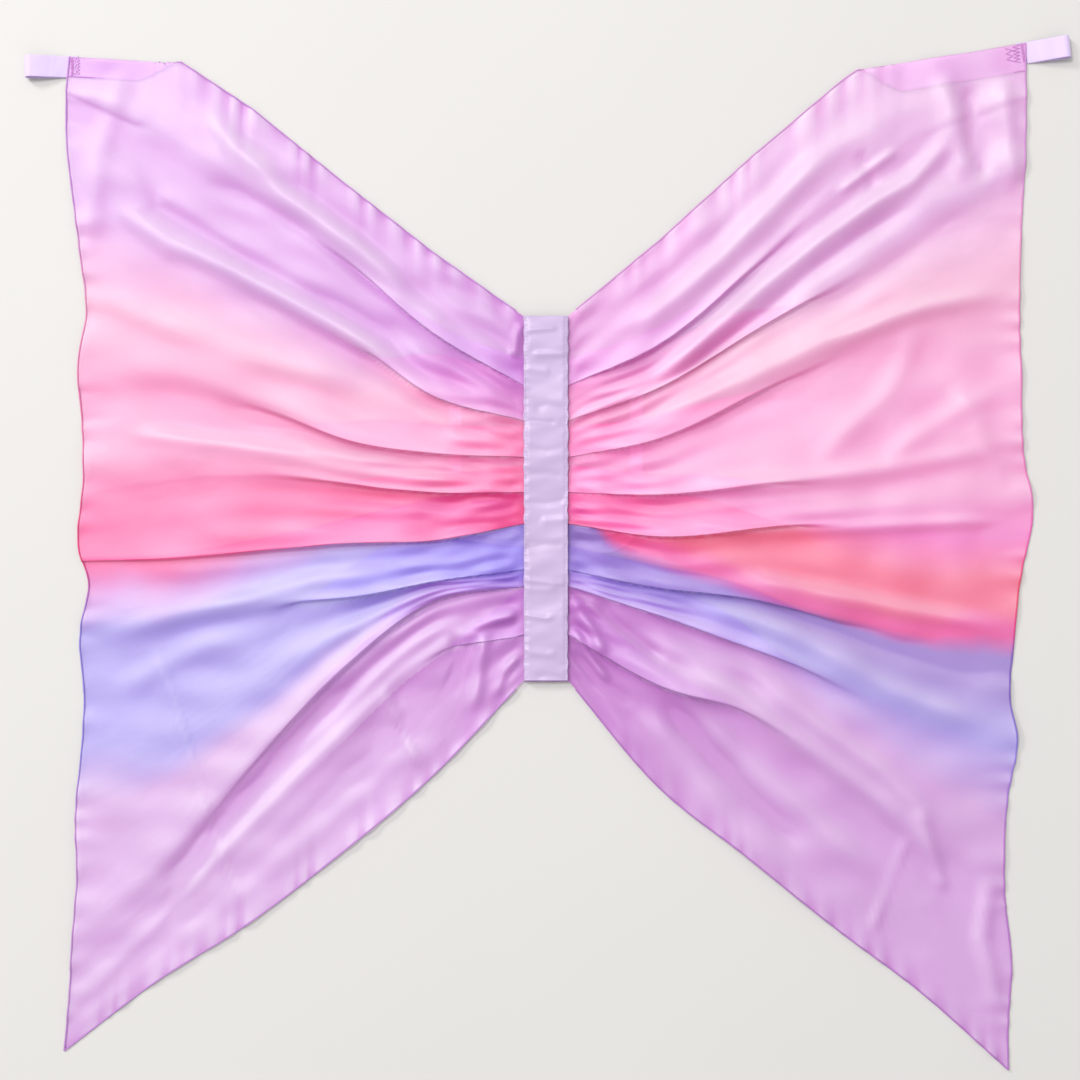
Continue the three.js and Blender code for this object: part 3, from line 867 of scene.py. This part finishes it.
# ---- Pleats under the ribbons ----
def make_middle():
    """The same pleats as at the wings' roots, carried straight across under the ribbons."""
    _, y, z, _, share = wing_surface("left", np.array([0.0, 0.001]))
    across = np.linspace(-BAND_EDGE - ROOT_GAP, BAND_EDGE + ROOT_GAP, 9)
    points = np.stack(np.broadcast_arrays(across[:, None], y[0], z[0]), -1)
    piece = make_object("pleats_under_band", points.reshape(-1, 3),
                        grid_faces(len(across), ROWS, flip=True), SILK["left"])
    set_point_values(piece, "dye", np.tile(share[0], len(across)))
    # An even painted shade on the pleats under the ribbons.
    set_point_values(piece, "tone", np.full(len(across) * ROWS, 0.5))
    set_uv(piece, np.repeat(across, ROWS), np.tile(share[0] * SILK_HEIGHT, len(across)))
    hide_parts("silk_pleats_middle")
    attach(piece, "band")
    return piece


def make_band_hem():
    """The silk's lower hem where it crosses under the band, just past the ribbons' ends."""
    across = np.linspace(-BAND_EDGE, BAND_EDGE, 60)
    y = MIDDLE_LOW[1] - 0.5 + 0.12 * ripples(across / 12, 0 * across, 51)
    path = np.stack([across, y, 2.6 + 0 * across], -1)
    radius = HEM_RADIUS * 0.9 * (1 + 0.1 * np.sin(across * 3))
    verts, faces = tube(path, radius[:, None], HEM_SIDES)
    piece = make_object("hem_under_band_thread", verts, faces, HEM["left"])
    set_point_values(piece, "dye", np.ones(len(verts)))
    set_uv(piece, np.zeros(len(verts)), np.repeat(across, HEM_SIDES))
    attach(piece, "band")


# ---- Ribbons ----
STITCH_PITCH = 3.3
STITCH_INSET = 1.9
RIBBON_THICK = 0.35
RIBBON_LIFT = 0.15  # from the bottom of the front ribbon's box to the cloth
FRONT_SEED, BACK_SEED = 3, 9  # of the ribbons' wrinkles


def ribbon_relief(x, y, seed):
    """Height of a satin ribbon over its bed: soft cross wrinkles, and dimples at the stitches."""
    edge = 1 - np.abs(x) / BAND_EDGE
    wrinkles = (2.0 * ripples(x / 110, y / 44, seed, low=0.7, high=1.4)
                + 0.4 * ripples(x / 44, y / 17, seed + 1))
    rng = np.random.default_rng(seed)
    for level in np.arange(FRONT_LOW[1] + 9, FRONT_HIGH[1] - 6, 21):
        start, middle, end = level + rng.uniform(-8, 8) + rng.uniform(-3, 3, 3)
        reach = rng.choice((-1, 1))
        path = ((-reach * 24, start), (0, middle), (reach * rng.uniform(4, 22), end))
        wrinkles = wrinkles + rng.choice((-1.5, 1.9)) * fold_line(x, y, path, rng.uniform(2.4, 4.2))
    bow = np.clip(edge * 4, 0, 1) ** 0.6
    puckers = ripples(x / 16, y / 10, seed + 2) * bell(edge * BAND_EDGE, 5)
    to_seam = edge * BAND_EDGE - STITCH_INSET
    beat = np.cos(2 * math.pi * y / STITCH_PITCH)
    dimple = bell(to_seam, 1.1) * (0.4 + 0.15 * beat)
    return 1.2 + 0.5 * wrinkles * bow + 0.2 * puckers + 0.4 * bow - 0.6 * dimple


def front_height(x, y):
    """Height of the front ribbon's outer face."""
    return FRONT_LOW[2] + RIBBON_LIFT + np.maximum(ribbon_relief(x, y, FRONT_SEED), 0.05) + RIBBON_THICK


def make_ribbon(name, node, seed, up):
    """A thin closed sheet; up is 1 for the front ribbon and -1 for the back one."""
    low, high = box_mm(node)
    cols, rows = 45, 420
    gx, gy = np.meshgrid(np.linspace(low[0], high[0], cols), np.linspace(low[1], high[1], rows))
    if up > 0:
        outer = front_height(gx, gy)
    else:
        outer = np.minimum(0.12 + 0.25 * np.maximum(ribbon_relief(gx, gy, seed), 0), 0.5)
    inner = outer - up * RIBBON_THICK
    wobble = 0.35 * ripples(gy / 16, 0 * gy, seed + 4) * (np.abs(gx) / BAND_EDGE) ** 6
    gx = gx + wobble * np.sign(gx)
    points = [np.stack([gx, gy, face], -1).reshape(-1, 3) for face in (outer, inner)]
    count = rows * cols
    faces = grid_faces(rows, cols, flip=up < 0)
    faces += [[i + count for i in face[::-1]] for face in faces]
    index = np.arange(count).reshape(rows, cols)
    ring = np.concatenate([index[0], index[1:, -1], index[-1, -2::-1], index[-2:0:-1, 0]]).tolist()
    for a, b in zip(ring, ring[1:] + ring[:1]):
        face = [b, a, a + count, b + count]
        faces.append(face if up > 0 else face[::-1])
    piece = make_object(name, np.concatenate(points), faces, SATIN)
    set_uv(piece, np.tile(gx.ravel(), 2), np.tile(gy.ravel(), 2))
    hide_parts(node)
    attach(piece, "band")


def make_edge_stitches(side):
    """Short running stitches that dip into the front ribbon along one long edge."""
    x = WINGS[side]["side"] * (BAND_EDGE - STITCH_INSET)
    length, lift = 0.62 * STITCH_PITCH, 0.16
    parts = []
    for y in np.arange(FRONT_LOW[1] + 3, FRONT_HIGH[1] - 3, STITCH_PITCH):
        t = np.linspace(-0.5, 0.5, 6)
        ys = y + t * length
        base = front_height(x + 0 * ys, ys)
        path = np.stack([x + 0.25 * t, ys, base + lift * np.cos(math.pi * t) - 0.05], -1)
        parts.append(tube(path, 0.24 * np.cos(math.pi * t * 0.8)[:, None], 6))
    verts, faces = joined(parts)
    piece = make_object(f"running_stitches_{side}", verts, faces, SEAM_THREAD)
    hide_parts(f"edge_stitching_{side}")
    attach(piece, "band")


# ---- Strips ----
def flat_strip(path, across, up, width, thick, cols, relief=None):
    """A closed ribbon and its flat coordinates; across and up turn a path into directions."""
    path, at = resample(path, 0.6)
    count = len(path)
    across, up = across(path), up(path)
    place = np.linspace(-0.5, 0.5, cols) * width
    rounding = 1 - (np.abs(place) / (width / 2)) ** 10 * 0.7
    lift = 0 if relief is None else relief(at[:, None], place[None])
    high = np.broadcast_to(thick / 2 * rounding[None] + lift, (count, cols))
    low = np.broadcast_to(-thick / 2 * rounding[None] + lift * 0.8, (count, cols))
    base = path[:, None] + across[:, None] * place[None, :, None]
    top = base + up[:, None] * high[..., None]
    bottom = base + up[:, None] * low[..., None]
    points = np.concatenate([top, bottom[:, ::-1]], axis=1)
    ring = 2 * cols
    faces = grid_faces(count, ring, wrap=True)
    for row, turn in ((0, -1), (count - 1, 1)):
        first, last = row * ring, row * ring + ring - 1
        for j in range(cols - 1):
            face = [first + j, first + j + 1, last - 1 - j, last - j]
            faces.append(face[::turn])
    uv_across = np.tile(np.concatenate([place, place[::-1]]), count)
    return points.reshape(-1, 3), faces, uv_across, np.repeat(at, ring)


def along_y(path):
    return np.tile([0.0, 1.0, 0.0], (len(path), 1))


def along_z(path):
    return np.tile([0.0, 0.0, 1.0], (len(path), 1))


def side_up(path):
    """Unit normals in the XZ plane of a path that runs in it."""
    tangent = tangents(path)
    return np.stack([-tangent[:, 2], 0 * tangent[:, 0], tangent[:, 0]], -1)


def in_plane(path):
    """Unit normals in the XY plane of a path that runs in it."""
    return np.cross([0, 0, 1.0], tangents(path))


def add_strip(name, node, points, strip, reverse, material):
    """A piece made of a flat strip, with its points already in place."""
    _, faces, across, along = strip
    if reverse:
        faces = [face[::-1] for face in faces]
    piece = make_object(name, points, faces, material)
    set_uv(piece, across, along)
    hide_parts(node)
    return piece


# ---- Finger loops ----
LOOP_MARGIN = 0.4  # how much narrower than LOOP_WIDTH the ribbon is
LOOP_DROP = 1  # from a wing's corner down to the loop's upper edge
LOOP_RIM = 0.5  # where the loop comes out from under the silk, past the corner
LOOP_BEND = 33.2  # where it folds back, past the corner
LOOP_END_LAYERS = (0.28, 0.76)  # heights of the two stacked ends
# Rows of zigzag: middle past the corner, swing, pitch and length.
TACK_ROWS = {
    "left": ((-2.2, 3.4, 1.5, 15), (-7.5, 3.0, 2.4, 14), (-5.0, 1.2, 5.0, 15)),
    "right": ((-2.2, 3.0, 2.0, 16), (-8.0, 6.0, 2.6, 15), (-14.0, 6.0, 3.6, 12)),
}


def at_corner(side, points):
    """Moves points drawn outwards along +X from a wing's corner to their place."""
    (tip_x, tip_y), _ = rim_ends(side)
    out = WINGS[side]["side"]
    turn = math.radians(out * LOOP_TILT[side])
    x, y, z = (points * (out, 1, 1)).T
    down = tip_y - LOOP_DROP - LOOP_WIDTH / 2
    return np.stack([x * math.cos(turn) - y * math.sin(turn) + out * tip_x,
                     x * math.sin(turn) + y * math.cos(turn) + down, z], -1)


def satin_relief(run, place):
    selvedge = 0.05 * bell(np.abs(place) - LOOP_WIDTH / 2 + 0.8, 0.5)
    return selvedge + 0.1 * ripples(run / 22, place / 30, 41) + 0.05 * ripples(run / 7, place / 16, 43)


def add_loop_strip(side, node, strip):
    reverse = WINGS[side]["side"] < 0
    return add_strip(f"{node}_satin", node, at_corner(side, strip[0]), strip, reverse, LOOP_SATIN)


def make_finger_loop(side):
    """A ribbon folded back on itself: flat underneath, open round its outer end."""
    node = f"finger_loop_{side}"
    _, high = box_mm(node)
    radius = high[2] / 2 - 0.35
    lower = [(LOOP_RIM, 0, 0.3), (12, 0, 0.24), (22, 0, 0.3), (LOOP_BEND - 3, 0, 0.36)]
    round_end = [(LOOP_BEND + radius * math.cos(a) * 0.98, 0, 0.36 + radius + radius * math.sin(a))
                 for a in np.linspace(-math.pi / 2, math.pi / 2 + 0.3, 26)]
    top_x, _, top_z = round_end[-1]
    upper = [(mix(top_x, LOOP_RIM, t), 0, mix(top_z, 0.78, t) + 0.9 * math.sin(math.pi * t) * (0.5 - t))
             for t in np.linspace(0, 1, 14)[1:]]
    path = lower + round_end + upper
    strip = flat_strip(path, along_y, side_up, LOOP_WIDTH - LOOP_MARGIN, 0.4, 21, satin_relief)
    piece = add_loop_strip(side, node, strip)
    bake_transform(piece)


def make_loop_end(side):
    """The two stacked ends of the loop's ribbon, under the silk's corner."""
    layers = []
    for z in LOOP_END_LAYERS:
        path = [(-7.0, 0, z), (-3.0, 0, z), (0.2, 0, z)]
        layers.append(flat_strip(path, along_y, side_up, LOOP_WIDTH - LOOP_MARGIN, 0.38, 15))
    points, faces = joined([layer[:2] for layer in layers])
    across, along = (np.concatenate([layer[i] for layer in layers]) for i in (2, 3))
    piece = add_loop_strip(side, f"finger_loop_end_{side}", (points, faces, across, along))
    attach(piece, f"wing_{side}")


def make_corner_tack(side, surface):
    """A bar tack of close zigzag thread that fixes the loop through the silk's corner."""
    rng = np.random.default_rng(7 if side == "left" else 8)
    flat = surface.reshape(-1, 3)
    (tip_x, tip_y), _ = rim_ends(side)
    corner = np.array([WINGS[side]["side"] * tip_x, tip_y])
    near = flat[np.hypot(*(flat[:, :2] - corner).T) < 40]
    parts = []
    for middle_x, swing, pitch, length in TACK_ROWS[side]:
        turns = int(length / pitch * 2)
        xs = middle_x + swing / 2 * (-1.0) ** np.arange(turns) + rng.uniform(-0.35, 0.35, turns)
        ys = np.linspace(-length / 2, length / 2, turns) + rng.uniform(-0.25, 0.25, turns)
        path = at_corner(side, np.stack([xs, ys, 0 * xs], -1))
        path, _ = resample(path, 0.7)
        away = np.hypot(path[:, None, 0] - near[None, :, 0], path[:, None, 1] - near[None, :, 1])
        height = np.where(away < 3.2, near[None, :, 2], -1e9).max(axis=1)
        path[:, 2] = rounded(np.maximum(height, 1.2), 1.2) + 0.18
        parts.append(tube(path, 0.26, 6))
    verts, faces = joined(parts)
    piece = make_object(f"bar_tack_{side}", verts, faces, TACK_THREAD)
    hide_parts(f"corner_tack_{side}")
    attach(piece, f"wing_{side}")


# ---- Shoulder straps ----
STRAP_WIDTH = 12
STRAP_BEND = 30  # radius of its corners
STRAP_HEIGHT = 0.52  # of its middle over the surface
STRAP_GAP = 0.35  # from the band's edge


def elastic_relief(run, place):
    ribs = 0.07 * np.cos(2 * math.pi * place / 1.9)
    edge = (np.abs(place) / (STRAP_WIDTH / 2)) ** 4
    return ribs + 0.05 * edge * np.sin(2 * math.pi * run / 3.1)


def add_elastic(side, node, path):
    out = WINGS[side]["side"]
    strip = flat_strip(path, in_plane, along_z, STRAP_WIDTH - 0.3, 0.7, 25, elastic_relief)
    return add_strip(f"{node}_elastic", node, strip[0] * (out, 1, 1), strip, out > 0, ELASTIC)


def make_strap(side):
    node = f"shoulder_strap_{side}"
    low, high = box_mm(node)
    reach = max(abs(low[0]), abs(high[0])) - STRAP_WIDTH / 2
    bottom, top = low[1] + STRAP_WIDTH / 2, high[1] - STRAP_WIDTH / 2
    root, z = BAND_EDGE + STRAP_GAP, STRAP_HEIGHT
    bend_x, bend_y = reach - STRAP_BEND, bottom + STRAP_BEND
    first = [(bend_x + STRAP_BEND * math.cos(a), bend_y + STRAP_BEND * math.sin(a), z)
             for a in np.linspace(-math.pi / 2, 0, 16)]
    second = [(x, top + bottom - y, z) for x, y, z in first[::-1]]
    piece = add_elastic(side, node, [(root, bottom, z), *first, *second, (root, top, z)])
    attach(piece, f"strap_{side}")


def make_strap_end(side, which):
    node = f"strap_end_{which}_{side}"
    low, high = box_mm(node)
    y = (low[1] + high[1]) / 2
    inner, outer = sorted((abs(low[0]), abs(high[0])))
    path = [(inner, y, 1.35), (inner + 6, y, 1.3), (outer - 2, y, 1.15), (outer + 0.2, y, 0.9)]
    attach(add_elastic(side, node, path), "band")


# ---- Stage ----
FLOOR_REACH = 4000  # from the middle to its edges
LAMP_COLOR = (1, 0.99, 0.98)
SKY_COLOR = (0.98, 0.98, 1, 1)
SKY_STRENGTH = 0.76
PICTURE_WIDTH = 0.933  # metres of the surface across the picture
PICTURE_SHIFT = (-0.007, 0.0115)  # metres from the object's middle to the picture's


def make_floor():
    verts = [(x * FLOOR_REACH, y * FLOOR_REACH, 0) for x, y in ((-1, -1), (1, -1), (1, 1), (-1, 1))]
    nodes = Nodes("pale_floor")
    place = nodes.add("ShaderNodeTexCoord").outputs["Object"]
    shade = nodes.about(0.985, nodes.noise(place, 2.0, 3.0), 0.03)
    nodes.set(Base_Color=nodes.scaled((0.575, 0.565, 0.545), shade), Roughness=0.9)
    floor = make_object("floor", verts, [[0, 1, 2, 3]], nodes.material)


def make_light(name, place, size, power):
    """A round lamp that shines at the middle of the object."""
    data = bpy.data.lights.new(name, "AREA")
    data.shape = "DISK"
    data.size = size
    data.energy = power
    data.color = LAMP_COLOR
    lamp = bpy.data.objects.new(name, data)
    lamp.location = place
    lamp.rotation_euler = (-Vector(place)).to_track_quat("-Z", "Y").to_euler()
    bpy.context.collection.objects.link(lamp)


def make_stage():
    make_floor()
    make_light("key", (-3.4, 3.2, 3.2), 1.5, 140)
    make_light("softbox", (-1.3, 1.5, 4.0), 1.3, 105)
    world = bpy.data.worlds.new("studio")
    world.use_nodes = True
    sky = world.node_tree.nodes["Background"]
    sky.inputs["Color"].default_value = SKY_COLOR
    sky.inputs["Strength"].default_value = SKY_STRENGTH
    bpy.context.scene.world = world
    bpy.context.scene.view_settings.view_transform = "Standard"


def make_camera():
    """Straight above the wings, which fill a square picture."""
    low, high = cad_box
    middle = (low + high) / 2
    data = bpy.data.cameras.new("camera")
    data.lens, data.sensor_width = 70, 36
    camera = bpy.data.objects.new("camera", data)
    distance = PICTURE_WIDTH * data.lens / data.sensor_width
    camera.location = (middle.x + PICTURE_SHIFT[0], middle.y + PICTURE_SHIFT[1], distance)
    bpy.context.collection.objects.link(camera)
    bpy.context.scene.camera = camera


make_stage()
make_camera()
make_ribbon("ribbon_front_satin", "ribbon_front", FRONT_SEED, 1)
make_ribbon("ribbon_back_satin", "ribbon_back", BACK_SEED, -1)
middle = make_middle()
make_band_hem()
for side in WINGS:
    silk, points, share = make_wing(side)
    hems = [make_hem(side, edge, points, share) for edge in ("upper", "outer", "lower")]
    make_edge_stitches(side)
    make_finger_loop(side)
    make_loop_end(side)
    make_corner_tack(side, points)
    make_strap(side)
    for which in ("upper", "lower"):
        make_strap_end(side, which)
